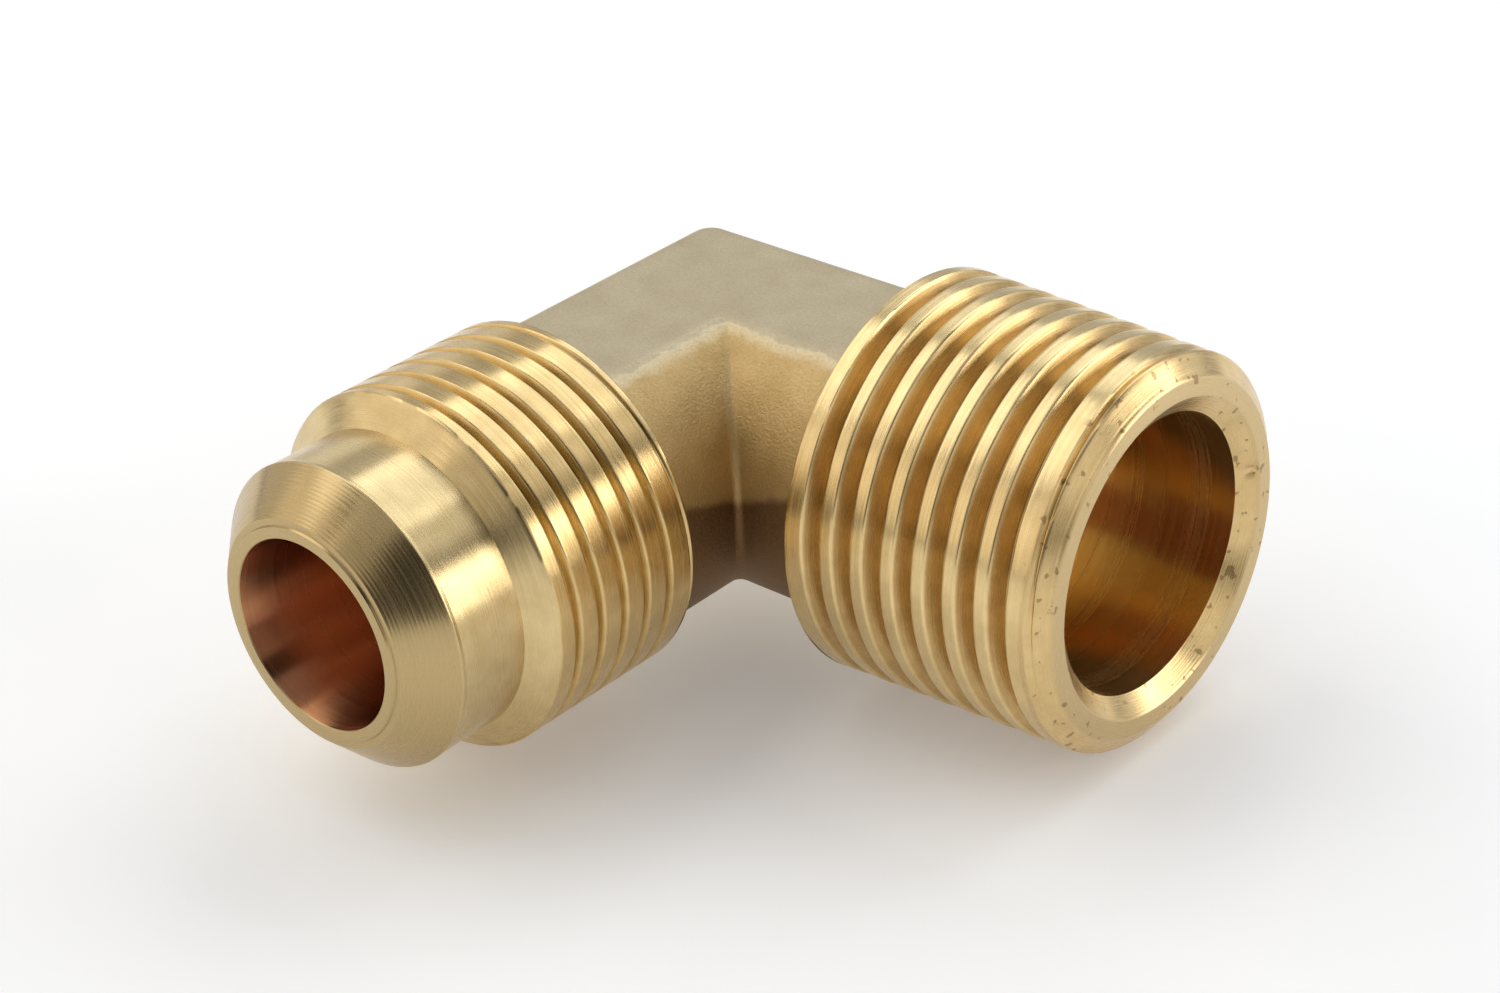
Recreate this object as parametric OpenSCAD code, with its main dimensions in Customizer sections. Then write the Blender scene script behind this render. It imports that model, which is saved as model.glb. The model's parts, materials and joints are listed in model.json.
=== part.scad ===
// Elbow fitting, 90 degrees: a 45 degree flare end and a tapered male pipe end
// on one forged and machined brass body.
// The two axes cross at the origin. The flare end points along -Y and the
// pipe end along +X, and the wrench flats face up and down.

/* [Flare end] */
// Distance from the crossing of the axes to the flare nose
flare_reach = 29.5; // [28.5:0.1:34]
// Diameter of the drilling through the flare end
flare_bore_d = 10; // [6:0.1:10.6]
// Outside diameter of the flat lip at the nose
lip_d = 11.7; // [11.2:0.1:13]
// Largest diameter of the 45 degree sealing cone
seat_d = 16.1; // [15:0.1:16.6]
// Diameter of the smooth pilot behind the cone
pilot_d = 16; // [14.8:0.1:16.4]
// Length of the smooth pilot
pilot_length = 4; // [2.5:0.1:4.5]
// Major diameter of the flare nut thread
flare_thread_d = 19.05; // [18.9:0.01:19.2]
// Threads in 25.4 mm on the flare end
flare_tpi = 16; // [14:1:18]
// Distance from the crossing of the axes to the start of the flare thread
flare_thread_start = 13; // [12.5:0.1:13.6]

/* [Pipe end] */
// Distance from the crossing of the axes to the pipe end
pipe_reach = 28.3; // [27.8:0.1:30]
// Diameter of the counterbore in the pipe end
pipe_bore_d = 14.4; // [12:0.1:15]
// Depth of the counterbore in the pipe end
pipe_bore_depth = 16; // [10:0.5:17]
// Diameter of the drilling from the counterbore to the corner
cross_bore_d = 11; // [10.8:0.1:11.6]
// Crest diameter at the large end of the taper thread
pipe_thread_d = 21.24; // [20.9:0.01:21.5]
// Threads in 25.4 mm on the pipe end
pipe_tpi = 14; // [13:1:16]
// Distance from the crossing of the axes to the start of the pipe thread
pipe_thread_start = 13.3; // [12.5:0.1:13.8]
// Outside diameter of the flat ring at the pipe end
pipe_face_d = 18.2; // [17.2:0.1:19]
// Diameter of the countersink at the mouth of the counterbore
pipe_mouth_d = 16.4; // [15.2:0.1:17]

/* [Body] */
// Diameter of the round forged arms
body_d = 17; // [16.6:0.1:17.2]
// Distance between the upper and lower wrench flats
across_flats = 15.2; // [14:0.1:16]

/* [Hidden] */
$fn = 96;
brass = [0.80, 0.66, 0.38];
thread_taper = 1 / 32;              // radius lost per length on a 1 in 16 taper
flank_slope = tan(30);              // half width per depth on a 60 degree thread
drill_slope = 1 / tan(59);          // tip length per radius of a 118 degree drill
flare_pitch = 25.4 / flare_tpi;
flare_depth = 0.29 * flare_pitch;   // shallow grooves leave broad flat crests
flare_grooves = 5;
pipe_pitch = 25.4 / pipe_tpi;
pipe_depth = 0.49 * pipe_pitch;
pipe_grooves = 7;
groove_root = 0.1;                  // width of the flat at the bottom of a groove
end_groove_depth = 0.35;            // shallow run-in groove by the pipe end
end_groove_at = pipe_reach - 1;
pipe_chamfer = 0.8;
pipe_mouth_depth = 0.8;
seat_start = flare_reach - (seat_d - lip_d) / 2;
pilot_end = seat_start - pilot_length;
flare_chamfer = 1;
overlap = 1;                        // how far an arm runs on inside its thread

// Radius of the pipe thread's crests at a distance s from the corner
function pipe_crest(s) = pipe_thread_d / 2 - (s - pipe_thread_start) * thread_taper;

// Turns a shape drawn along +Z to point along the flare axis
module along_flare() {
    rotate([90, 0, 0]) children();
}

// Turns a shape drawn along +Z to point along the pipe axis
module along_pipe() {
    rotate([0, 90, 0]) children();
}

// Round solid whose outline is a list of [radius, distance] points
module turned(outline) {
    rotate_extrude() polygon(concat([[0, outline[0][1]]], outline,
        [[0, outline[len(outline) - 1][1]]]));
}

// Ring-shaped V groove centred at distance s, cut in from radius r
module v_groove(s, r, depth) {
    out = 0.5;
    narrow = groove_root / 2;
    wide = narrow + (depth + out) * flank_slope;
    rotate_extrude() polygon([
        [r - depth, s - narrow], [r + out, s - wide],
        [r + out, s + wide], [r - depth, s + narrow]]);
}

// One round arm of the body, cut at 45 degrees where the two arms meet
module mitred_arm(length) {
    reach = 2 * length;
    intersection() {
        translate([0, 0, -body_d]) cylinder(h = body_d + length, d = body_d);
        rotate([0, 45, 0]) translate([-reach, -reach, 0]) cube(2 * reach);
    }
}

// The forged elbow between the threads, with its two wrench flats
module forged_elbow() {
    wide = 4 * body_d;
    intersection() {
        union() {
            along_pipe() rotate([0, 0, 90]) mitred_arm(pipe_thread_start + overlap);
            along_flare() rotate([0, 0, 180]) mitred_arm(flare_thread_start + overlap);
        }
        cube([wide, wide, across_flats], center = true);
    }
}

// Flare end: nut thread, smooth pilot, 45 degree cone and flat lip
module flare_end() {
    r = flare_thread_d / 2;
    difference() {
        turned([
            [r, flare_thread_start],
            [r, pilot_end - flare_chamfer],
            [pilot_d / 2, pilot_end],
            [pilot_d / 2, seat_start - (seat_d - pilot_d) / 2],
            [seat_d / 2, seat_start],
            [lip_d / 2, flare_reach]]);
        for (i = [0 : flare_grooves - 1])
            v_groove(flare_thread_start + (i + 1.07) * flare_pitch, r, flare_depth);
    }
}

// Pipe end: taper thread, run-in groove, chamfer and flat end ring
module pipe_end() {
    chamfer_at = pipe_reach - pipe_chamfer;
    difference() {
        turned([
            [pipe_crest(pipe_thread_start), pipe_thread_start],
            [pipe_crest(chamfer_at), chamfer_at],
            [pipe_face_d / 2, pipe_reach]]);
        for (i = [0 : pipe_grooves - 1]) {
            s = pipe_thread_start + (i + 0.73) * pipe_pitch;
            v_groove(s, pipe_crest(s), pipe_depth);
        }
        v_groove(end_groove_at, pipe_crest(end_groove_at), end_groove_depth);
    }
}

// Drilled hole from a reach back to a depth, ending in a drill point
module drilling(d, from, to) {
    translate([0, 0, to]) cylinder(h = from - to + overlap, d = d);
    translate([0, 0, to - d / 2 * drill_slope])
        cylinder(h = d / 2 * drill_slope, r1 = 0, r2 = d / 2);
}

// Countersink that opens the counterbore at the pipe end
module pipe_mouth() {
    slope = (pipe_mouth_d - pipe_bore_d) / 2 / pipe_mouth_depth;
    translate([0, 0, pipe_reach - pipe_mouth_depth])
        cylinder(h = pipe_mouth_depth + overlap, r1 = pipe_bore_d / 2,
            r2 = pipe_mouth_d / 2 + slope * overlap);
}

module elbow_body() {
    color(brass) difference() {
        union() {
            forged_elbow();
            along_flare() flare_end();
            along_pipe() pipe_end();
        }
        along_flare() drilling(flare_bore_d, flare_reach, 0);
        along_pipe() drilling(cross_bore_d, pipe_reach, 0);
        along_pipe() drilling(pipe_bore_d, pipe_reach, pipe_reach - pipe_bore_depth);
        along_pipe() pipe_mouth();
    }
}

elbow_body();
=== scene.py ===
import json
import math

import bmesh
import bpy
import numpy as np
from mathutils import Matrix, Vector


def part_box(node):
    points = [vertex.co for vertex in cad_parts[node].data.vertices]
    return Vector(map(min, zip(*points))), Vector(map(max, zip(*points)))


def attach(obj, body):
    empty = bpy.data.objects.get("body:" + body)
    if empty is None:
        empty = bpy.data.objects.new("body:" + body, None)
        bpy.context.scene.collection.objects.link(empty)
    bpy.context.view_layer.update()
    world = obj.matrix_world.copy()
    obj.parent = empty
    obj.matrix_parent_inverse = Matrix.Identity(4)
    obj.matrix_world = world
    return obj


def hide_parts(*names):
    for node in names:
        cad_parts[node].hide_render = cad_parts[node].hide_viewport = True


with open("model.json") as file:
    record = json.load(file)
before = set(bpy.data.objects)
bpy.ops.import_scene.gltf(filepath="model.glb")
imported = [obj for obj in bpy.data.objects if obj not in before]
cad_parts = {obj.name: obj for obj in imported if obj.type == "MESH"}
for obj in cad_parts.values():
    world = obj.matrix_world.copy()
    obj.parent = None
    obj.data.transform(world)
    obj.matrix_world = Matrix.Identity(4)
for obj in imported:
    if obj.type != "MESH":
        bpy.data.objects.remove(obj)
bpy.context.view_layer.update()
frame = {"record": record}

# The frame is the CAD's: the two axes cross at the origin, the flare end points
# along -Y and the pipe end along +X. The outlines are in millimetres, and the
# finished mesh, the floor, the lights and the camera are in metres.
MM = 0.001
MOUNTS = {m["name"]: m for m in frame["record"]["mounts"]}
NODE_LOW, NODE_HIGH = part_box("elbow_body")


def mount_size(name, key):
    """One dimension of a mount in the record, in millimetres."""
    return MOUNTS[name]["dims"][key]


def mount_place(name, axis):
    """One coordinate of a mount in the record, in millimetres."""
    return MOUNTS[name]["pos_m"][axis] / MM


# ---------- the flare end, distances measured from the corner ----------
FLARE_REACH = -NODE_LOW.y / MM                  # the nose
FLARE_CREST = mount_size("flare_thread", "r_mm")
FLARE_BORE = mount_size("flare_bore", "r_mm")
FLARE_START = 13.0                              # where the thread meets the body
FLARE_PITCH = 25.4 / 16
FLARE_CREST_AT = 17.15                          # a crest, on the side of the inner corner
FLARE_FADE = 1.3                                # from the start to where the grooves are full depth
PILOT = 8.0                                     # radius of the smooth cylinder behind the cone
PILOT_END = 23.25
CHAMFER = 0.95                                  # lead-in of the thread
CHAMFER_ROUND = 0.03
LIP = 5.62                                      # outer radius of the flat ring round the bore
LIP_STEP = 0.14                                 # drop from the ring to the foot of the cone
LIP_FLARE = 0.05                                # the ring is this much wider at its foot
CONE_WIDE = 8.05
CONE_END = 27.32                                # where the cone is widest
CONE_BACK = 0.25                                # from there to the pilot
NOSE_EDGE = 0.06                                # broken edge of the bore
NOSE_ROUNDING = (0.02, 0.05, 0.03, 0.05, 0.12, 0.1)     # at each corner, from the bore outwards
FLARE_OPEN = FLARE_REACH - NOSE_EDGE            # where the straight bore begins

# ---------- the pipe end, distances measured from the corner ----------
PIPE_REACH = NODE_HIGH.x / MM
PIPE_CREST = NODE_HIGH.z / MM                   # at the large end of the taper
PIPE_BORE = mount_size("pipe_bore", "r_mm")
PIPE_BORE_DEPTH = mount_size("pipe_bore", "length_mm")
PIPE_START = 13.3
PIPE_PITCH = 25.4 / 14
PIPE_CREST_AT = 17.65
PIPE_TAPER = 1 / 32
PIPE_FADE = 1.0
PIPE_END_FILL = 0.66                            # share of the groove depth missing near the end
PIPE_FILL_FROM = 1.9                            # distances from the end where that sets in
PIPE_FILL_FULL = 1.2
PIPE_RIM = 0.8                                  # outer chamfer
PIPE_RIM_ROUND = 0.12
PIPE_RIM_LAST = 0.1                             # last stretch of the chamfer, outside the thread rows
PIPE_RIM_DROP = 0.12                            # how much the radius falls over it
PIPE_FACE_ROUNDING = (0.25, 0.15)               # at its outer and inner edge
PIPE_FACE = 9.1                                 # outer radius of the end face
PIPE_MOUTH = 8.2                                # radius of the countersink round the bore
MOUTH_DEPTH = 0.8
PIPE_OPEN = PIPE_REACH - MOUTH_DEPTH            # where the straight bore begins
NICK_AT = math.radians(171)                     # dent in the countersink
NICK_WIDTH = math.radians(2.2)
NICK_DEPTH = 0.35

# ---------- the forged middle and the passage ----------
ARM = 8.5                                       # radius of the forged arms
FLAT = mount_place("upper_flat", 2)             # height of the wrench flats
FLAT_EDGE = 0.08                                # rounding where a flat meets the round
INNER_BEND = 0.4
OUTER_BEND = 1.1
FADE_BEFORE = 0.2                               # a thread begins to fade this far inside its shoulder
SHOULDER_TOP = 0.05                             # from the shoulder to the thread's first row
SHOULDER_FOOT = 0.35                            # from the shoulder to the end of its hollow
# distance from the shoulder, and share of the step up from the arm to the crest
SHOULDER = ((SHOULDER_TOP, 1.0), (0.015, 0.985), (0.0, 0.95), (-0.02, 0.5), (-0.06, 0.25),
            (-0.15, 0.09), (-SHOULDER_FOOT, 0.0))
CROSS_BORE = 5.5
POINT_SLOPE = 1 / math.tan(math.radians(59))    # height of a drill point over its radius
OVERSHOOT = 1                                   # how far a drill solid sticks out of its mouth
MOUTH_SLACK = 1e-3                              # a face further out than this is cut away

# ---------- the mesh ----------
AROUND = 240                                    # points round each ring
ARM_RINGS = 14
BEND_RINGS = 9
FLANK_STEP = 0.12                               # longest step along a thread form
RIM_ROW_STEP = 0.2
SNAP = 0.015                                    # rows this close to a stretch's end move onto it
SHY = 0.004                                     # kept inside the CAD box by this much
DRILL_MERGE = 1e-5                              # points closer than this become one
ELBOW_MERGE = 0.002
SHARP = math.radians(50)                        # edges sharper than this are shaded sharp
THETA = 2 * np.pi * np.arange(AROUND) / AROUND  # 0 faces the inner corner
COS = np.cos(THETA)
SIN = np.sin(THETA)
SKIN, FLARE_METAL, PIPE_METAL, FLARE_DRILLED, PIPE_DRILLED = range(5)   # material slots

# ---------- the studio, in metres ----------
FLOOR_HALF = 1.5
SOFTBOX_DISTANCE = 0.6
NEUTRAL = (1.0, 0.99, 0.97)
WARM = (1.05, 0.97, 0.87)
COOL = (0.97, 1.01, 1.07)
WORLD_GREY = 0.05
CAMERA_AZIMUTH = math.radians(42.524)
CAMERA_ELEVATION = math.radians(29.581)
CAMERA_ROLL = math.radians(-3.202)
CAMERA_DISTANCE = 0.16885
CAMERA_AIM = (0.0014445, -0.0052433)            # the aim point, right of and below the origin
CAMERA_LENS = 76.24                             # millimetres, like the sensor
SENSOR = 36.0


# ---------- outlines ----------
def rounded(points, radii, steps=3):
    """A line of 2-D points with each inner corner replaced by a small arc."""
    points = [np.array(p, float) for p in points]
    line = [points[0]]
    for before, corner, after, radius in zip(points, points[1:], points[2:], radii):
        to_before = (before - corner) / np.linalg.norm(before - corner)
        to_after = (after - corner) / np.linalg.norm(after - corner)
        half = math.acos(np.clip(to_before @ to_after, -1, 1)) / 2
        turn = math.pi - 2 * half
        reach = radius / math.tan(half)
        middle = to_before + to_after
        centre = corner + middle / np.linalg.norm(middle) * radius / math.sin(half)
        first = corner + to_before * reach - centre
        last = corner + to_after * reach - centre
        for i in range(steps + 1):
            t = i / steps
            arc = math.sin((1 - t) * turn) * first + math.sin(t * turn) * last
            line.append(centre + arc / math.sin(turn))
    line.append(points[-1])
    return np.array(line)


def smooth_least(a, b, width):
    """The lesser of a and b, with the crossing rounded over a width."""
    h = np.clip(0.5 + 0.5 * (b - a) / width, 0, 1)
    return b * (1 - h) + a * h - width * h * (1 - h)


def smooth_step(x, low, high):
    """0 below low and 1 above high, smooth between."""
    t = np.clip((x - low) / (high - low), 0, 1)
    return t * t * (3 - 2 * t)


def divided(line, longest):
    """The same line with extra points, so that no step is longer than the given length."""
    out = [line[0]]
    for a, b in zip(line, line[1:]):
        parts = max(1, math.ceil(np.linalg.norm(b - a) / longest))
        out += [a + (b - a) * i / parts for i in range(1, parts + 1)]
    return np.array(out)


def thread_form(pitch, crest, root, crest_round, root_round):
    """One pitch of a 60 degree thread as rows of [distance, depth below the crest]. crest
    and root are the widths of its two flats."""
    depth = (pitch - crest - root) / 2 / math.tan(math.radians(30))
    corners = [(0, 0), (crest / 2, 0), (pitch / 2 - root / 2, depth),
               (pitch / 2 + root / 2, depth), (pitch - crest / 2, 0), (pitch, 0)]
    radii = [crest_round, root_round, root_round, crest_round]
    return divided(rounded(corners, radii), FLANK_STEP)


FLARE_FORM = thread_form(FLARE_PITCH, crest=1.05, root=0.08, crest_round=0.07, root_round=0.06)
PIPE_FORM = thread_form(PIPE_PITCH, crest=0.68, root=0.1, crest_round=0.12, root_round=0.06)


def body_section():
    """Radius of a forged arm at each angle: a round with its top and bottom flattened."""
    steep = np.maximum(np.abs(SIN), 0.3)        # below 0.3 the flat is far outside the round
    return smooth_least(np.full_like(THETA, ARM), FLAT / steep, FLAT_EDGE)


def flare_radius(along, depth):
    """Radius of the flare thread at a path distance, with its fade-out and lead-in."""
    s = -along
    faded = 1 - smooth_step(s, FLARE_START - FADE_BEFORE, FLARE_START + FLARE_FADE)
    lift = FLARE_FORM[:, 1].max() * faded
    lead = FLARE_CREST - (s - (PILOT_END - CHAMFER)) * (FLARE_CREST - PILOT) / CHAMFER
    return smooth_least(FLARE_CREST - SHY - np.maximum(depth - lift, 0), lead, CHAMFER_ROUND)


def pipe_radius(along, depth):
    """Radius of the pipe thread: fades out at the shoulder, shallow again near the end."""
    faded = 1 - smooth_step(along, PIPE_START - FADE_BEFORE, PIPE_START + PIPE_FADE)
    filled = PIPE_END_FILL * smooth_step(along, PIPE_REACH - PIPE_FILL_FROM, PIPE_REACH - PIPE_FILL_FULL)
    lift = (faded + filled) * PIPE_FORM[:, 1].max()
    crest = PIPE_CREST - SHY - (along - PIPE_START) * PIPE_TAPER
    rim_top = PIPE_CREST - (PIPE_REACH - PIPE_RIM - PIPE_START) * PIPE_TAPER
    rim = rim_top - (along - (PIPE_REACH - PIPE_RIM)) * (rim_top - PIPE_FACE) / PIPE_RIM
    return smooth_least(crest - np.maximum(depth - lift, 0), rim, PIPE_RIM_ROUND)


def nose_line():
    """The turned outline from the flare bore to the foot of the thread's lead-in."""
    ledge = FLARE_REACH - LIP_STEP
    corners = [
        (FLARE_OPEN, FLARE_BORE), (FLARE_REACH, FLARE_BORE + NOSE_EDGE), (FLARE_REACH, LIP),
        (ledge, LIP + LIP_FLARE), (ledge, CONE_WIDE - (ledge - CONE_END)), (CONE_END, CONE_WIDE),
        (CONE_END - CONE_BACK, PILOT), (PILOT_END, PILOT)]
    return rounded(corners, NOSE_ROUNDING)


def rim_line():
    """The turned outline from the last row of the pipe thread to the pipe bore."""
    thread_end = PIPE_REACH - PIPE_RIM_LAST
    start = pipe_radius(np.array([thread_end]), 0.0)[0]
    corners = [(thread_end, start), (PIPE_REACH, start - PIPE_RIM_DROP), (PIPE_REACH, PIPE_MOUTH),
               (PIPE_OPEN, PIPE_BORE)]
    return divided(rounded(corners, PIPE_FACE_ROUNDING), RIM_ROW_STEP)


# ---------- surface patches: rows of points along the path, one row is one ring ----------
def on_flare(along, radius):
    """A ring at a path distance along (negative towards the flare nose)."""
    return np.stack([radius * COS, along + 0 * COS, radius * SIN], -1)


def on_pipe(along, radius):
    """A ring at a path distance along (positive towards the pipe face)."""
    return np.stack([along + 0 * COS, -radius * COS, radius * SIN], -1)


def lathe_rows(line, place, sign):
    """Rings for a turned outline given as [distance from the corner, radius]."""
    return np.array([place(sign * s, r) for s, r in line])


def thread_rows(start, end, pitch, crest_at, form, place, radius_at):
    """Rings that follow the helix between two path distances, and how many rows make one
    turn. Rows outside the stretch fold onto its ends. crest_at is the path distance of a
    crest at angle 0."""
    offsets = form[:-1, 0]
    first = math.floor((start - crest_at) / pitch) - 1
    last = math.ceil((end - crest_at) / pitch) + 1
    drift = pitch * THETA / (2 * np.pi)
    rows = []
    for turn in range(first, last + 1):
        for offset in offsets:
            along = crest_at + turn * pitch + offset - drift
            along = np.where(np.abs(along - start) < SNAP, start, along)
            along = np.where(np.abs(along - end) < SNAP, end, along)
            along = np.clip(along, start, end)
            phase = np.mod(along + drift - crest_at, pitch)
            depth = np.interp(phase, form[:, 0], form[:, 1])
            rows.append(place(along, radius_at(along, depth)))
    return np.array(rows), len(offsets)


def nicked(along, radius):
    """Radius round the pipe mouth at one distance, with the small dent on its far side. Only
    the countersink is dented, so a ring wider than the mouth stays round."""
    share = math.sin(math.pi * np.clip((PIPE_REACH - along) / MOUTH_DEPTH, 0, 1))
    if radius > PIPE_MOUTH + 0.05:
        share = 0
    return radius + NICK_DEPTH * share * np.exp(-((THETA - NICK_AT) / NICK_WIDTH) ** 2)


def elbow_rows():
    """The forged middle: both arms and the bend, from the flare shoulder to the pipe shoulder."""
    radius = body_section()
    inner = radius * COS
    height = radius * SIN
    bend = OUTER_BEND + (INNER_BEND - OUTER_BEND) * (COS + 1) / 2
    centre = inner + bend
    flare_foot = FLARE_START - SHOULDER_FOOT
    pipe_foot = PIPE_START - SHOULDER_FOOT
    rows = []
    for t in np.linspace(0, 1, ARM_RINGS):
        rows.append(np.stack([inner, -(flare_foot + (centre - flare_foot) * t), height], -1))
    for turn in np.linspace(0, math.pi / 2, BEND_RINGS)[1:]:
        rows.append(np.stack([centre - bend * math.cos(turn), -centre + bend * math.sin(turn), height], -1))
    for t in np.linspace(0, 1, ARM_RINGS)[1:]:
        rows.append(np.stack([centre + (pipe_foot - centre) * t, -inner, height], -1))
    return np.array(rows)


def shoulder_rows(start, crest, place, sign):
    """The step from a thread down to the forged arm, with a small hollow at its foot."""
    body = body_section()
    high = crest - SHY
    return np.array([place(sign * (start + ds), body + (high - body) * share) for ds, share in SHOULDER])


def patch_faces(base, count, shift=0):
    """Quads between neighbouring rings. shift is the row offset across the seam of a helix."""
    rows = np.arange(count - 1)
    faces = []
    for j in range(AROUND):
        following = (j + 1) % AROUND
        step = shift if following == 0 else 0
        lower = np.clip(rows - step, 0, count - 1)
        upper = np.clip(rows + 1 - step, 0, count - 1)
        a = base + rows * AROUND + j
        b = base + (rows + 1) * AROUND + j
        c = base + upper * AROUND + following
        d = base + lower * AROUND + following
        faces.append(np.stack([a, b, c, d], -1))
    return np.concatenate(faces)


class Surface:
    """Collects patches of rings, each with the number of its material slot."""

    def __init__(self):
        self.points = []
        self.faces = []
        self.slots = []
        self.count = 0

    def add(self, rows, slot, shift=0):
        """Adds one patch. shift is the row offset across the seam of a helix."""
        faces = patch_faces(self.count, len(rows), shift)
        self.points.append(rows.reshape(-1, 3))
        self.faces.append(faces)
        self.slots.append(np.full(len(faces), slot))
        self.count += rows.shape[0] * AROUND


def tidy_mesh(mesh, distance):
    """Merges doubled points, drops faces with no area and turns every face outwards."""
    work = bmesh.new()
    work.from_mesh(mesh)
    bmesh.ops.remove_doubles(work, verts=work.verts, dist=distance)
    bmesh.ops.dissolve_degenerate(work, edges=work.edges, dist=distance)
    bmesh.ops.recalc_face_normals(work, faces=work.faces)
    work.to_mesh(mesh)
    work.free()


# ---------- the passage ----------
def drill(name, place, sign, line):
    """A closed round solid with the outline of one drilling."""
    rows = lathe_rows(line, place, sign)
    mesh = bpy.data.meshes.new(name)
    mesh.from_pydata(rows.reshape(-1, 3).tolist(), [], patch_faces(0, len(rows)).tolist())
    piece = bpy.data.objects.new(name, mesh)
    bpy.context.scene.collection.objects.link(piece)
    tidy_mesh(mesh, DRILL_MERGE)
    return piece


def flare_drill():
    """The drilling from the nose, with its point past the corner."""
    return drill("flare_drill", on_flare, -1, [
        (FLARE_REACH + OVERSHOOT, 0), (FLARE_REACH + OVERSHOOT, FLARE_BORE), (FLARE_OPEN, FLARE_BORE),
        (0, FLARE_BORE), (-FLARE_BORE * POINT_SLOPE, 0)])


def pipe_drill():
    """The wide drilling from the pipe face, and the narrower one that goes on from it."""
    step = PIPE_OPEN - PIPE_BORE_DEPTH
    return drill("pipe_drill", on_pipe, 1, [
        (PIPE_REACH + OVERSHOOT, 0), (PIPE_REACH + OVERSHOOT, PIPE_BORE), (PIPE_OPEN, PIPE_BORE),
        (step, PIPE_BORE), (step - (PIPE_BORE - CROSS_BORE) * POINT_SLOPE, CROSS_BORE),
        (0, CROSS_BORE), (-CROSS_BORE * POINT_SLOPE, 0)])


def outside_passage(face):
    """True for the faces of the drill solids that stick out of the two mouths."""
    middle = face.calc_center_median()
    return middle.y < -FLARE_OPEN - MOUTH_SLACK or middle.x > PIPE_OPEN + MOUTH_SLACK


def cavity():
    """Points and faces of the drilled passage, open at both mouths."""
    flare = flare_drill()
    pipe = pipe_drill()
    join = flare.modifiers.new("join", "BOOLEAN")
    join.operation = "UNION"
    join.solver = "EXACT"
    join.object = pipe
    depsgraph = bpy.context.evaluated_depsgraph_get()
    joined = bpy.data.meshes.new_from_object(flare.evaluated_get(depsgraph))
    work = bmesh.new()
    work.from_mesh(joined)
    outside = [face for face in work.faces if outside_passage(face)]
    bmesh.ops.delete(work, geom=outside, context="FACES")
    work.verts.ensure_lookup_table()
    work.verts.index_update()
    points = [tuple(vertex.co) for vertex in work.verts]
    faces = [[vertex.index for vertex in face.verts] for face in work.faces]
    work.free()
    bpy.data.meshes.remove(joined)
    for piece in (flare, pipe):
        bpy.data.objects.remove(piece)
    return points, faces


# ---------- the fitting ----------
def outer_surface():
    """The outside of the fitting as one run of rings, from the flare bore to the pipe bore."""
    surface = Surface()
    surface.add(lathe_rows(nose_line(), on_flare, -1), FLARE_METAL)
    rows, turn = thread_rows(-PILOT_END, -FLARE_START - SHOULDER_TOP, FLARE_PITCH, -FLARE_CREST_AT,
                             FLARE_FORM, on_flare, flare_radius)
    surface.add(rows, FLARE_METAL, turn)
    surface.add(shoulder_rows(FLARE_START, FLARE_CREST, on_flare, -1), FLARE_METAL)
    surface.add(elbow_rows(), SKIN)
    surface.add(shoulder_rows(PIPE_START, PIPE_CREST, on_pipe, 1)[::-1], PIPE_METAL)
    rows, turn = thread_rows(PIPE_START + SHOULDER_TOP, PIPE_REACH - PIPE_RIM_LAST, PIPE_PITCH,
                             PIPE_CREST_AT, PIPE_FORM, on_pipe, pipe_radius)
    surface.add(rows, PIPE_METAL, turn)
    surface.add(np.array([on_pipe(s, nicked(s, r)) for s, r in rim_line()]), PIPE_METAL)
    return surface


def build_elbow():
    """The whole fitting as one mesh object, with its faces numbered by material slot."""
    surface = outer_surface()
    points = np.concatenate(surface.points)
    faces = np.concatenate(surface.faces).tolist()
    slots = np.concatenate(surface.slots).tolist()
    bore_points, bore_faces = cavity()
    faces += [[v + len(points) for v in face] for face in bore_faces]
    for face in bore_faces:
        on_flare_side = np.mean([bore_points[v][1] for v in face]) < -CROSS_BORE
        slots.append(FLARE_DRILLED if on_flare_side else PIPE_DRILLED)
    points = np.concatenate([points, np.array(bore_points)])

    mesh = bpy.data.meshes.new("elbow")
    mesh.from_pydata(points.tolist(), [], faces)
    mesh.polygons.foreach_set("material_index", slots)
    tidy_mesh(mesh, ELBOW_MERGE)
    mesh.transform(Matrix.Scale(MM, 4))
    mesh.polygons.foreach_set("use_smooth", [True] * len(mesh.polygons))
    mesh.set_sharp_from_angle(angle=SHARP)
    elbow = bpy.data.objects.new("elbow", mesh)
    bpy.context.scene.collection.objects.link(elbow)
    return elbow


# ---------- material values ----------
NOISE_LOW = 0.3                                 # a noise node's values lie mostly between these
NOISE_HIGH = 0.7

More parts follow.
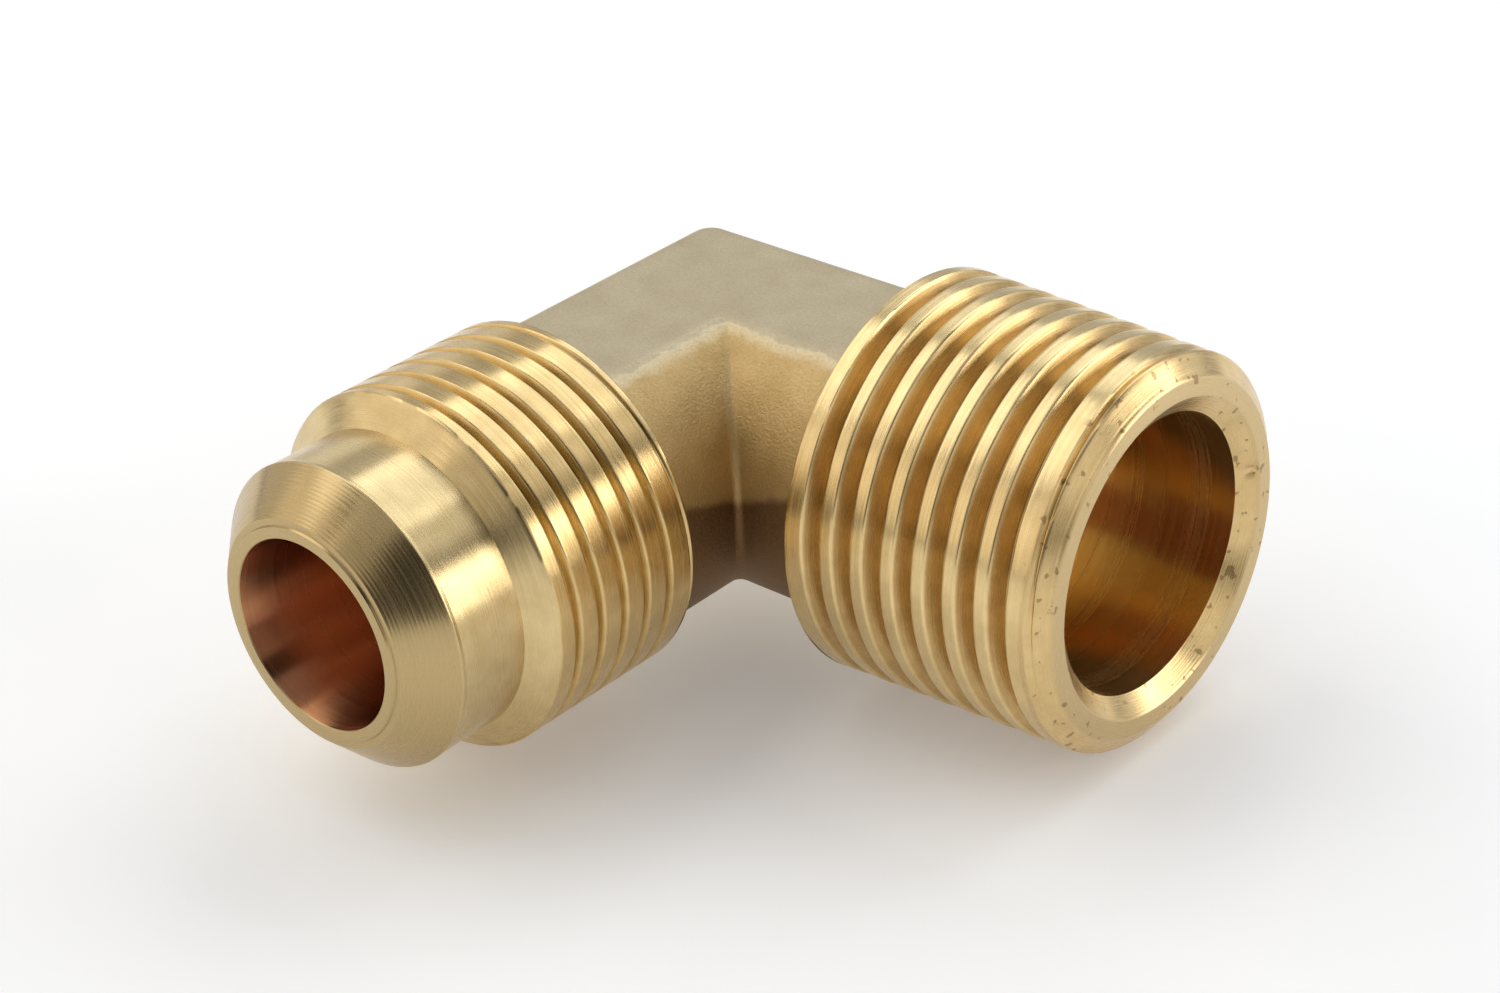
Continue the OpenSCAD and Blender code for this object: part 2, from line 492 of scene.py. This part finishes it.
# Each pair of colours is the darkest and the lightest of a patchy surface.
FLARE_FINISH = {
    "plain": ((0.63, 0.475, 0.235), (0.72, 0.56, 0.29)),
    # The crests' colour here is their own, slightly warmer tone; the grooves' colour is painted shade in
    # the thread's hollows.
    "crests": ((0.64, 0.455, 0.20), (0.74, 0.54, 0.25)),
    "grooves": ((0.54, 0.37, 0.14), (0.63, 0.45, 0.19)),
    "seat": (0.50, 0.37, 0.18),                 # the cone, or the flat pipe face
    "stain": (0.45, 0.30, 0.12),
    "stain_above": 0.8,                         # noise value where a speck begins
    "thread_from": FLARE_START, "thread_to": PILOT_END - CHAMFER,
    "crest_radius": FLARE_CREST, "taper": 0.0,
    "seat_from": CONE_END,
}
PIPE_FINISH = {
    "plain": ((0.64, 0.46, 0.21), (0.74, 0.54, 0.26)),
    # The crests' colour is lightened into a painted highlight; the grooves' colour is painted shade in the
    # thread's hollows.
    "crests": ((0.72, 0.54, 0.26), (0.82, 0.62, 0.31)),
    "grooves": ((0.52, 0.35, 0.15), (0.62, 0.43, 0.19)),
    "seat": (0.62, 0.46, 0.23),
    "stain": (0.30, 0.19, 0.08),
    "stain_above": 0.64,
    "thread_from": PIPE_START, "thread_to": PIPE_REACH - PIPE_FILL_FULL,
    "crest_radius": PIPE_CREST, "taper": PIPE_TAPER,
    "seat_from": PIPE_REACH - PIPE_RIM_LAST,
}
GROOVE_SHADE = (0.03, 0.2)                       # depths where the painted shade in a groove sets in and is full
THREAD_IN = 0.3                                 # length over which the thread's colours set in
THREAD_OUT = 0.05                               # and half the length over which they end
SEAT_BLEND = 0.1                                # half the length over which the seat's colour sets in
SPECK_BLEND = 0.04                              # noise between a speck's edge and its full colour
SPECK_STRENGTH = 0.8
SPECK_RANGE = (-0.4, 0.2)                       # specks set in between these, from the thread's end
TOOL_WAVE = (50.0, 6.0)                         # radians a millimetre, along the arm and away from it
TOOL_BLEND = 0.3
TURNED_ROUGH = 0.26
TURNED_STRETCH = 0.7

# Noise of up to WANDER is added to a height before it is compared, so that the edges of the
# colours are uneven. FLAT_TINT and the painted edge highlight count from the height of the wrench flats.
WANDER = 0.5
FLAT_TINT = (-0.1, 0.05)                        # heights where the side's colour turns into the flat's
HIGHLIGHT_RISE = (-0.4, -0.05)                     # and where the painted highlight below the flat's edge comes
HIGHLIGHT_FALL = (0.14, 0.04)                      # and goes
HIGHLIGHT_STRENGTH = 0.6
CORNER_START = (4.0, 5.5)                       # how far past both axes the corner's shade sets in
CORNER_RISE = 0.33                              # how steeply its upper edge climbs along the arms
CORNER_EDGE = (1.0, 0.4)                        # heights above the axes where it starts and is full
CORNER_STRENGTH = 0.9
GRAIN_TINT = 0.2
FORGED_ROUGH = (0.42, 0.58)
FORGED_SIDE = ((0.56, 0.39, 0.165), (0.66, 0.47, 0.22))
FORGED_FLAT = ((0.55, 0.46, 0.305), (0.62, 0.53, 0.36))
# Painted highlight of the rounded edge just below each wrench flat.
FORGED_EDGE_HIGHLIGHT = (0.80, 0.69, 0.46)
# Painted shade low in the inner corner between the arms.
FORGED_CORNER_SHADE = (0.19, 0.10, 0.045)
FORGED_GRAIN = (0.36, 0.26, 0.12)

# Painted shade: the flare bore darkened to a red-brown.
FLARE_BORE_SHADE = ((0.34, 0.14, 0.07), (0.46, 0.21, 0.10))
# Painted reflection: the pipe bore brightened to the orange of light bouncing inside it.
PIPE_BORE_REFLECTION = ((0.96, 0.66, 0.27), (1.0, 0.75, 0.34))
DRILLED_ROUGH = 0.25
DRILLED_STRETCH = 0.6
STREAK_SHRINK = 0.25                            # makes the streaks four times as long as they are wide

PAPER = ((0.93, 0.93, 0.93), (0.96, 0.96, 0.96))
PAPER_ROUGH = 0.8
PAPER_GLOW = 0.2


# ---------- materials ----------
class Nodes:
    """Short calls for building a node tree."""

    def __init__(self, name):
        self.material = bpy.data.materials.new(name)
        self.material.use_nodes = True
        self.tree = self.material.node_tree
        self.shader = self.tree.nodes["Principled BSDF"]

    def add(self, kind, **settings):
        """A new node with the given settings."""
        made = self.tree.nodes.new(kind)
        for key, value in settings.items():
            setattr(made, key, value)
        return made

    def link(self, source, target):
        """Joins an output to an input."""
        self.tree.links.new(source, target)

    def feed(self, socket, value):
        """Sets a number on a socket, or links another node's output to it."""
        if isinstance(value, (int, float)):
            socket.default_value = value
        else:
            self.link(value, socket)

    def math(self, operation, a, b=None):
        """One math node. a and b are numbers or outputs."""
        made = self.add("ShaderNodeMath", operation=operation)
        self.feed(made.inputs[0], a)
        if b is not None:
            self.feed(made.inputs[1], b)
        return made.outputs[0]

    def plus(self, a, b):
        return self.math("ADD", a, b)

    def minus(self, a, b):
        return self.math("SUBTRACT", a, b)

    def times(self, a, b):
        return self.math("MULTIPLY", a, b)

    def place(self):
        """The place on the surface in millimetres: as a vector, and as X, Y and Z."""
        where = self.add("ShaderNodeTexCoord")
        scaled = self.add("ShaderNodeVectorMath", operation="SCALE")
        scaled.inputs["Scale"].default_value = 1 / MM
        self.link(where.outputs["Object"], scaled.inputs[0])
        parts = self.add("ShaderNodeSeparateXYZ")
        self.link(scaled.outputs[0], parts.inputs[0])
        return scaled.outputs[0], parts.outputs

    def combine(self, x, y, z):
        """A vector from three numbers or outputs."""
        made = self.add("ShaderNodeCombineXYZ")
        for socket, value in zip(made.inputs, (x, y, z)):
            self.feed(socket, value)
        return made.outputs[0]

    def noise(self, vector, scale, detail, rough=0.5):
        """Noise between 0 and 1, mostly between NOISE_LOW and NOISE_HIGH."""
        made = self.add("ShaderNodeTexNoise")
        made.inputs["Scale"].default_value = scale
        made.inputs["Detail"].default_value = detail
        made.inputs["Roughness"].default_value = rough
        self.link(vector, made.inputs["Vector"])
        return made.outputs["Fac"]

    def patchy(self, noise, colours):
        """The first colour where the noise is low, the second where it is high."""
        made = self.add("ShaderNodeValToRGB")
        self.link(noise, made.inputs[0])
        for element, position, colour in zip(made.color_ramp.elements, (NOISE_LOW, NOISE_HIGH), colours):
            element.position = position
            element.color = (*colour, 1)
        return made.outputs["Color"]

    def spread(self, noise, low, high):
        """A value that is low where the noise is low and high where it is high."""
        made = self.add("ShaderNodeMapRange")
        self.link(noise, made.inputs["Value"])
        made.inputs["From Min"].default_value = NOISE_LOW
        made.inputs["From Max"].default_value = NOISE_HIGH
        made.inputs["To Min"].default_value = low
        made.inputs["To Max"].default_value = high
        return made.outputs["Result"]

    def step(self, value, low, high):
        """0 at low and 1 at high, smooth between. low may be the greater of the two."""
        made = self.add("ShaderNodeMapRange", interpolation_type="SMOOTHSTEP")
        self.link(value, made.inputs["Value"])
        made.inputs["From Min"].default_value = low
        made.inputs["From Max"].default_value = high
        return made.outputs["Result"]

    def mix(self, share, a, b):
        """Colour a where share is 0, b where it is 1. Inputs 6 and 7 and output 2 are the
        node's colour sockets."""
        made = self.add("ShaderNodeMix", data_type="RGBA")
        self.link(share, made.inputs["Factor"])
        for socket, colour in zip((made.inputs[6], made.inputs[7]), (a, b)):
            if isinstance(colour, tuple):
                socket.default_value = (*colour, 1)
            else:
                self.link(colour, socket)
        return made.outputs[2]

    def bump(self, height, strength, distance, normal=None):
        """The surface normal with a relief, whose full height is distance in metres."""
        made = self.add("ShaderNodeBump")
        made.inputs["Strength"].default_value = strength
        made.inputs["Distance"].default_value = distance
        self.link(height, made.inputs["Height"])
        if normal is not None:
            self.link(normal, made.inputs["Normal"])
        return made.outputs["Normal"]

    def metal(self, colour, rough, normal):
        """Makes the shader bare metal."""
        self.link(colour, self.shader.inputs["Base Color"])
        self.link(rough, self.shader.inputs["Roughness"])
        self.link(normal, self.shader.inputs["Normal"])
        self.shader.inputs["Metallic"].default_value = 1.0

    def from_axis(self, xyz, across):
        """Distance from the arm's axis, where across is the level direction square to it."""
        squares = [self.math("POWER", xyz[side], 2.0) for side in (across, "Z")]
        return self.math("SQRT", self.plus(*squares))

    def ringed(self, xyz, along, across, out, radius, strength):
        """Stretches reflections as fine rings round the arm's axis do. The tangent lies in the
        plane through that axis, halfway between along it and away from it, so that it suits
        cylinders, cones and faces alike."""
        parts = {along: -float(out)}
        for side in (across, "Z"):
            parts[side] = self.math("DIVIDE", xyz[side], radius)
        self.link(self.combine(parts["X"], parts["Y"], parts["Z"]), self.shader.inputs["Tangent"])
        self.shader.inputs["Anisotropic"].default_value = strength


def turned_colour(nodes, vector, reach, radius, threaded, finish):
    """Crest colour with a painted highlight on the pipe thread, grooves browned by painted shade,
    the seat's own colour at the end of the arm, and a few specks towards that end."""
    cloud = nodes.noise(vector, scale=0.9, detail=3.0)
    plain = nodes.patchy(cloud, finish["plain"])
    crests = nodes.patchy(cloud, finish["crests"])
    grooves = nodes.patchy(cloud, finish["grooves"])
    narrowing = nodes.times(nodes.minus(reach, finish["thread_from"]), finish["taper"])
    depth = nodes.minus(nodes.minus(finish["crest_radius"], narrowing), radius)
    # Painted shade: the deeper below the crest, the browner the thread.
    thread = nodes.mix(nodes.step(depth, *GROOVE_SHADE), crests, grooves)
    colour = nodes.mix(threaded, plain, thread)
    seat = nodes.step(reach, finish["seat_from"] - SEAT_BLEND, finish["seat_from"] + SEAT_BLEND)
    colour = nodes.mix(seat, colour, finish["seat"])
    spots = nodes.noise(vector, scale=1.6, detail=2.0)
    speck = nodes.step(spots, finish["stain_above"], finish["stain_above"] + SPECK_BLEND)
    near_end = nodes.step(reach, *[finish["thread_to"] + shift for shift in SPECK_RANGE])
    return nodes.mix(nodes.times(nodes.times(speck, SPECK_STRENGTH), near_end), colour, finish["stain"])


def turned_relief(nodes, reach, radius, threaded, turning, finish):
    """Fine turning marks everywhere, and even tool marks on the seat."""
    turns = nodes.plus(nodes.times(reach, TOOL_WAVE[0]), nodes.times(radius, TOOL_WAVE[1]))
    marks = nodes.times(nodes.math("SINE", turns), nodes.minus(1.0, threaded))
    marks = nodes.times(marks, nodes.step(reach, finish["seat_from"] - TOOL_BLEND, finish["seat_from"]))
    fine = nodes.bump(turning, strength=0.6, distance=0.00001)
    return nodes.bump(marks, strength=0.6, distance=0.000003, normal=fine)


def machined(name, along, across, out, finish):
    """Turned brass of one arm. out is +1 or -1, the way the arm points along its axis."""
    nodes = Nodes(name)
    vector, xyz = nodes.place()
    radius = nodes.from_axis(xyz, across)
    reach = nodes.math("ABSOLUTE", xyz[along])
    thread_in = nodes.step(reach, finish["thread_from"], finish["thread_from"] + THREAD_IN)
    thread_out = nodes.step(reach, finish["thread_to"] + THREAD_OUT, finish["thread_to"] - THREAD_OUT)
    threaded = nodes.times(thread_in, thread_out)
    turning = nodes.noise(nodes.combine(reach, radius, 0.0), scale=9.0, detail=3.0, rough=0.6)
    nodes.metal(
        turned_colour(nodes, vector, reach, radius, threaded, finish),
        nodes.spread(turning, TURNED_ROUGH * 0.75, TURNED_ROUGH * 1.3),
        turned_relief(nodes, reach, radius, threaded, turning, finish))
    nodes.ringed(xyz, along, across, out, radius, TURNED_STRETCH)
    return nodes.material


def forged_sides(nodes, vector, height):
    """Yellow sides and greyer wrench flats, with a painted highlight just below a flat's edge."""
    cloud = nodes.noise(vector, scale=0.5, detail=3.0)
    side = nodes.patchy(cloud, FORGED_SIDE)
    flat = nodes.patchy(cloud, FORGED_FLAT)
    on_flat, rising, falling = [nodes.step(height, FLAT + low, FLAT + high)
                                for low, high in (FLAT_TINT, HIGHLIGHT_RISE, HIGHLIGHT_FALL)]
    edge_highlight = nodes.times(nodes.times(rising, falling), HIGHLIGHT_STRENGTH)
    return nodes.mix(edge_highlight, nodes.mix(on_flat, side, flat), FORGED_EDGE_HIGHLIGHT)


def inner_corner_shade(nodes, xyz, wander):
    """How strong the painted shade is low in the inner corner. The line of the shade rises away from
    the corner along both arms."""
    from_flare = nodes.times(xyz["Y"], -1.0)
    inner = nodes.step(nodes.math("MINIMUM", xyz["X"], from_flare), *CORNER_START)
    rise = nodes.times(nodes.minus(nodes.math("MAXIMUM", xyz["X"], from_flare), ARM), CORNER_RISE)
    low = nodes.step(nodes.minus(nodes.plus(xyz["Z"], wander), rise), *CORNER_EDGE)
    return nodes.times(nodes.times(inner, low), CORNER_STRENGTH)


def forged():
    """The sandy, matt skin left by the forging dies, with a painted highlight below the flats' edges and
    painted shade low in the inner corner.
    """
    nodes = Nodes("forged_skin")
    vector, xyz = nodes.place()
    grain = nodes.noise(vector, scale=7.0, detail=4.0, rough=0.6)
    wander = nodes.times(nodes.noise(vector, scale=0.8, detail=3.0), WANDER)
    height = nodes.plus(nodes.math("ABSOLUTE", xyz["Z"]), wander)
    colour = forged_sides(nodes, vector, height)
    colour = nodes.mix(inner_corner_shade(nodes, xyz, wander), colour, FORGED_CORNER_SHADE)
    colour = nodes.mix(nodes.spread(grain, 0.0, GRAIN_TINT), colour, FORGED_GRAIN)
    relief = nodes.bump(grain, strength=0.8, distance=0.00006)
    nodes.metal(colour, nodes.spread(grain, *FORGED_ROUGH), relief)
    return nodes.material


def drilled(name, along, across, out, colours):
    """A drilled passage: smooth metal with drill rings and streaks along the bore. Its colours are painted
    light: shade in the flare bore, reflection in the pipe bore.
    """
    nodes = Nodes(name)
    xyz = nodes.place()[1]
    radius = nodes.from_axis(xyz, across)
    rings = nodes.noise(nodes.combine(xyz[along], radius, 0.0), scale=3.0, detail=3.0, rough=0.6)
    shrunk = nodes.combine(nodes.times(xyz[along], STREAK_SHRINK), xyz[across], xyz["Z"])
    streak = nodes.noise(shrunk, scale=0.5, detail=2.0)
    nodes.metal(
        nodes.patchy(streak, colours),
        nodes.spread(rings, DRILLED_ROUGH * 0.8, DRILLED_ROUGH * 1.2),
        nodes.bump(rings, strength=0.25, distance=0.00001))
    nodes.ringed(xyz, along, across, out, radius, DRILLED_STRETCH)
    return nodes.material


def studio_paper():
    """White paper that glows a little, so that its far parts stay white."""
    nodes = Nodes("studio_paper")
    cloud = nodes.noise(nodes.place()[0], scale=0.05, detail=2.0)
    nodes.link(nodes.patchy(cloud, PAPER), nodes.shader.inputs["Base Color"])
    nodes.shader.inputs["Roughness"].default_value = PAPER_ROUGH
    nodes.shader.inputs["Emission Color"].default_value = (1, 1, 1, 1)
    nodes.shader.inputs["Emission Strength"].default_value = PAPER_GLOW
    return nodes.material


def brass_materials():
    """One material for each slot, in the order SKIN to PIPE_DRILLED."""
    return (
        forged(),
        machined("flare_brass", "Y", "X", -1, FLARE_FINISH),
        machined("pipe_brass", "X", "Y", 1, PIPE_FINISH),
        drilled("flare_drilled", "Y", "X", -1, FLARE_BORE_SHADE),
        drilled("pipe_drilled", "X", "Y", 1, PIPE_BORE_REFLECTION),
    )


# ---------- floor, light and camera ----------
def build_floor():
    """A plain square floor under the fitting."""
    half = FLOOR_HALF
    height = NODE_LOW.z
    corners = [(-half, -half, height), (half, -half, height), (half, half, height), (-half, half, height)]
    mesh = bpy.data.meshes.new("floor")
    mesh.from_pydata(corners, [], [(0, 1, 2, 3)])
    floor = bpy.data.objects.new("floor", mesh)
    floor.data.materials.append(studio_paper())
    bpy.context.scene.collection.objects.link(floor)


def softbox(name, azimuth, elevation, width, height, brightness, colour):
    """An area light of an even brightness that faces the object from SOFTBOX_DISTANCE away.
    Azimuth 0 is the -Y side, 90 the +X side and 180 the back."""
    data = bpy.data.lights.new(name, "AREA")
    data.shape = "RECTANGLE"
    data.size = width
    data.size_y = height
    data.energy = brightness * math.pi * width * height
    data.color = colour
    lamp = bpy.data.objects.new(name, data)
    turn = math.radians(azimuth)
    rise = math.radians(elevation)
    way = Vector((math.sin(turn) * math.cos(rise), -math.cos(turn) * math.cos(rise), math.sin(rise)))
    lamp.location = way * SOFTBOX_DISTANCE
    lamp.rotation_euler = way.to_track_quat("Z", "Y").to_euler()
    bpy.context.scene.collection.objects.link(lamp)


def build_light():
    """Softboxes all round, strong on the right, with a dark gap behind the camera."""
    softbox("right", 128, 8, 0.34, 0.35, 3.8, NEUTRAL)
    softbox("right_side", 92, 18, 0.28, 0.34, 1.0, NEUTRAL)
    softbox("right_front", 64, 16, 0.24, 0.34, 0.35, WARM)
    softbox("right_back", 153, 22, 0.22, 0.42, 0.8, COOL)
    softbox("right_high", 145, 42, 0.32, 0.24, 0.75, NEUTRAL)
    softbox("back", 200, 16, 0.90, 0.34, 0.5, COOL)
    softbox("left", 263, 18, 0.62, 0.36, 0.7, NEUTRAL)
    softbox("front_left", 317, 20, 0.55, 0.42, 1.0, WARM)
    softbox("front", 355, 18, 0.32, 0.30, 0.65, WARM)
    softbox("high_back", 187, 52, 0.50, 0.35, 1.7, COOL)
    softbox("high_back_left", 232, 46, 0.40, 0.35, 0.45, COOL)
    softbox("high_left", 290, 57, 0.52, 0.42, 1.7, NEUTRAL)
    softbox("overhead", 75, 74, 0.45, 0.40, 0.5, COOL)
    softbox("high_front", 0, 48, 0.30, 0.22, 0.65, NEUTRAL)
    world = bpy.data.worlds.new("studio")
    world.use_nodes = True
    background = world.node_tree.nodes["Background"]
    background.inputs["Color"].default_value = (WORLD_GREY, WORLD_GREY, WORLD_GREY, 1)
    bpy.context.scene.world = world


def build_camera():
    """A camera where the photo's stood, as found from the outlines of the fitting."""
    turn, rise, roll = CAMERA_AZIMUTH, CAMERA_ELEVATION, CAMERA_ROLL
    ahead = Vector((-math.sin(turn) * math.cos(rise), math.cos(turn) * math.cos(rise), -math.sin(rise)))
    level = Vector((math.cos(turn), math.sin(turn), 0))
    upright = level.cross(ahead)
    right = math.cos(roll) * level + math.sin(roll) * upright
    up = math.cos(roll) * upright - math.sin(roll) * level
    place = CAMERA_AIM[0] * right + CAMERA_AIM[1] * up - CAMERA_DISTANCE * ahead
    data = bpy.data.cameras.new("camera")
    data.sensor_fit = "HORIZONTAL"
    data.sensor_width = SENSOR
    data.lens = CAMERA_LENS
    data.clip_start = 0.001
    data.clip_end = 10
    data.dof.use_dof = False
    camera = bpy.data.objects.new("camera", data)
    facing = Matrix((right, up, -ahead)).transposed().to_4x4()
    camera.matrix_world = Matrix.Translation(place) @ facing
    bpy.context.scene.collection.objects.link(camera)
    bpy.context.scene.camera = camera


elbow = build_elbow()
for material in brass_materials():
    elbow.data.materials.append(material)
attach(elbow, "root")
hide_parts("elbow_body")
build_floor()
build_light()
build_camera()
view = bpy.context.scene.view_settings
view.view_transform = "Standard"
view.look = "None"
